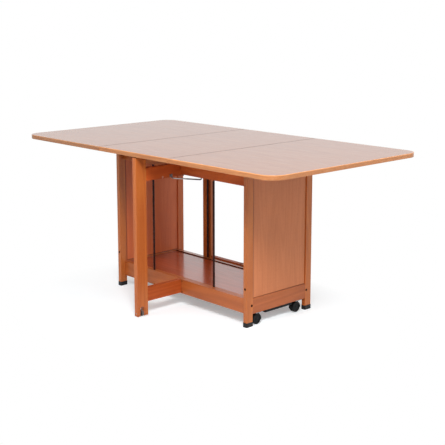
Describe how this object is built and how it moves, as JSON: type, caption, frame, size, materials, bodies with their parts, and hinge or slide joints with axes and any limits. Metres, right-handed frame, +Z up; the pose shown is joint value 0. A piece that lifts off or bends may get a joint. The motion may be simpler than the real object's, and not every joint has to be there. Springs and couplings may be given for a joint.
{
  "type": "folding table",
  "caption": "Rectangular folding table on a narrow boxed frame, with a turning hinged top, swing-out gate legs, an open shelf bay and end castors.",
  "frame": {"origin": "on the floor, under the middle of the frame and of the open top", "axes": "+X along the open top, towards the end with the castors; +Y across it, away from the gate that stands open; +Z up"},
  "size_m": [1.712, 0.932, 0.75],
  "materials": {
    "black_plastic": "moulded black",
    "black_rod": "satin black",
    "bright_wire": "bright zinc",
    "dark_bolt": "blackened",
    "edge_band": "gloss cherry edge band",
    "frame_wood": "satin cherry stain",
    "hidden_wood": "plain board",
    "panel_wood": "satin cherry veneer",
    "shelf_wood": "gloss cherry veneer",
    "top_veneer": "gloss cherry veneer",
    "wheel_plastic": "moulded black",
    "zinc_steel": "zinc plated"
  },
  "bodies": {
    "frame": {"castor_bar": "black_plastic", "castor_cleat": "hidden_wood", "castor_plates": "zinc_steel", "end_panel_left": "panel_wood", "end_panel_right": "panel_wood", "end_rail_high_left": "frame_wood", "end_rail_high_right": "frame_wood", "end_rail_low_left": "frame_wood", "end_rail_low_right": "frame_wood", "facing_high_back": "frame_wood", "facing_high_front": "frame_wood", "facing_low_back": "frame_wood", "facing_low_front": "frame_wood", "foot_caps": "black_plastic", "frame_bolts": "dark_bolt", "gate_hinge_brackets": "zinc_steel", "glide_pads": "black_plastic", "post_left_back": "frame_wood", "post_left_front": "frame_wood", "post_right_back": "frame_wood", "post_right_front": "frame_wood", "rail_high_back": "frame_wood", "rail_high_front": "frame_wood", "rail_low_back": "frame_wood", "rail_low_front": "frame_wood", "rod_left_back": "black_rod", "rod_left_front": "black_rod", "rod_right_back": "black_rod", "rod_right_front": "black_rod", "shelf": "shelf_wood", "stay_plates": "zinc_steel", "swivel_ball_race": "bright_wire", "swivel_board": "hidden_wood", "swivel_eyelet": "zinc_steel", "swivel_lower_plate": "zinc_steel"},
    "top": {"edge_band_centre": "edge_band", "edge_band_left": "edge_band", "edge_band_right": "edge_band", "leaf_hinges": "zinc_steel", "swivel_upper_plate": "zinc_steel", "top_centre_panel": "top_veneer", "top_leaf_left": "top_veneer", "top_leaf_right": "top_veneer"},
    "gate_front": {"gate_post_front": "frame_wood", "gate_rail_high_front": "frame_wood", "gate_rail_low_front": "frame_wood", "gate_hardware_front": "zinc_steel"},
    "roller_front": {"gate_roller_front": "wheel_plastic"},
    "stay_front": {"stay_hook_front": "bright_wire"},
    "castor_front": {"castor_hood_front": "black_plastic"},
    "castor_front_wheels": {"castor_wheels_front": "wheel_plastic"},
    "gate_back": {"gate_post_back": "frame_wood", "gate_rail_high_back": "frame_wood", "gate_rail_low_back": "frame_wood", "gate_hardware_back": "zinc_steel"},
    "roller_back": {"gate_roller_back": "wheel_plastic"},
    "stay_back": {"stay_hook_back": "bright_wire"},
    "castor_back": {"castor_hood_back": "black_plastic"},
    "castor_back_wheels": {"castor_wheels_back": "wheel_plastic"}
  },
  "joints": [
    {"name": "top_swivel", "type": "hinge", "parent": "frame", "child": "top", "pos_m": [0, 0, 0.726], "axis": [0, 0, 1], "range_deg": [0, 90]},
    {"name": "gate_front_fold", "type": "hinge", "parent": "frame", "child": "gate_front", "pos_m": [0.01, -0.196, 0.35], "axis": [0, 0, 1], "range_deg": [-90, 0]},
    {"name": "gate_back_open", "type": "hinge", "parent": "frame", "child": "gate_back", "pos_m": [0.01, 0.196, 0.35], "axis": [0, 0, 1], "range_deg": [-90, 0]},
    {"name": "roller_front_spin", "type": "hinge", "parent": "gate_front", "child": "roller_front", "pos_m": [0.01, -0.438, 0.015], "axis": [0, 1, 0], "continuous": true},
    {"name": "roller_back_spin", "type": "hinge", "parent": "gate_back", "child": "roller_back", "pos_m": [-0.232, 0.196, 0.015], "axis": [1, 0, 0], "continuous": true},
    {"name": "stay_front_swing", "type": "hinge", "parent": "frame", "child": "stay_front", "pos_m": [0.15, -0.192, 0.614], "axis": [0, 0, 1], "range_deg": [0, 141]},
    {"name": "stay_back_swing", "type": "hinge", "parent": "frame", "child": "stay_back", "pos_m": [0.15, 0.192, 0.614], "axis": [0, 0, 1], "range_deg": [0, 141]},
    {"name": "castor_front_swivel", "type": "hinge", "parent": "frame", "child": "castor_front", "pos_m": [0.442, -0.1275, 0.05], "axis": [0, 0, 1], "continuous": true},
    {"name": "castor_front_wheel_spin", "type": "hinge", "parent": "castor_front", "child": "castor_front_wheels", "pos_m": [0.442, -0.1395, 0.024], "axis": [1, 0, 0], "continuous": true},
    {"name": "castor_back_swivel", "type": "hinge", "parent": "frame", "child": "castor_back", "pos_m": [0.442, 0.1275, 0.05], "axis": [0, 0, 1], "continuous": true},
    {"name": "castor_back_wheel_spin", "type": "hinge", "parent": "castor_back", "child": "castor_back_wheels", "pos_m": [0.442, 0.1155, 0.024], "axis": [1, 0, 0], "continuous": true}
  ]
}
